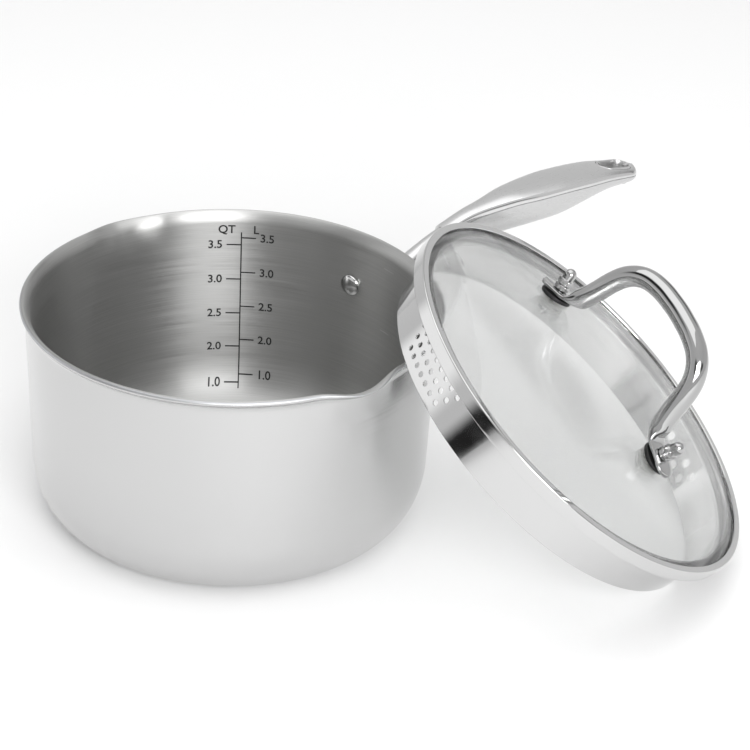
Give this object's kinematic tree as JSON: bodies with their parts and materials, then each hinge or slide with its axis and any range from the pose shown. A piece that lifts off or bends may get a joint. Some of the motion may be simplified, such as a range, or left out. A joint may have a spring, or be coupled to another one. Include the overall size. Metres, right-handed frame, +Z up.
{
  "type": "saucepan with glass lid",
  "caption": "Straight-walled clad saucepan with two pouring lips and a long hollow handle; a domed glass strainer lid with a bar handle leans against its rim.",
  "frame": {"origin": "centre of the pan's flat underside", "axes": "+Z up out of the pan's mouth, +X out along the pan's handle, the pouring lips at +Y and -Y"},
  "size_m": [0.383, 0.3364, 0.152],
  "materials": {
    "polished_outer_steel": "satin polished",
    "aluminium_core": "as rolled",
    "brushed_inner_steel": "brushed round the pan",
    "satin_handle_steel": "satin",
    "bright_steel": "polished",
    "lid_band_steel": "polished",
    "lid_chrome": "mirror polished",
    "tempered_glass": "clear",
    "black_silicone": "matt",
    "clear_silicone": "matt",
    "screw_steel": "machined"
  },
  "bodies": {
    "pan": {"handle_bracket": "satin_handle_steel", "handle_lower_shell": "satin_handle_steel", "handle_rivet_1": "bright_steel", "handle_rivet_2": "bright_steel", "handle_upper_shell": "satin_handle_steel", "hang_hole_liner": "bright_steel", "pan_core_ply": "aluminium_core", "pan_inner_ply": "brushed_inner_steel", "pan_outer_ply": "polished_outer_steel"},
    "lid_carrier": {"lid_seal": "black_silicone"},
    "lid": {"cap_nut_1": "lid_chrome", "cap_nut_2": "lid_chrome", "foot_gasket_1": "black_silicone", "foot_gasket_2": "black_silicone", "glass_washer_1": "clear_silicone", "glass_washer_2": "clear_silicone", "jam_nut_1": "lid_chrome", "jam_nut_2": "lid_chrome", "lid_band": "lid_band_steel", "lid_bar_handle": "lid_chrome", "lid_glass": "tempered_glass", "steel_washer_1": "screw_steel", "steel_washer_2": "screw_steel", "stud_screw_1": "screw_steel", "stud_screw_2": "screw_steel"}
  },
  "joints": [
    {"name": "lid_lift", "type": "slide", "parent": "pan", "child": "lid_carrier", "axis": [0.4272, -0.4549, 0.7814], "range_m": [0, 0.15]},
    {"name": "lid_turn", "type": "hinge", "parent": "lid_carrier", "child": "lid", "pos_m": [0.10989, -0.11702, 0.0625], "axis": [0.4272, -0.4549, 0.7814], "continuous": true}
  ]
}
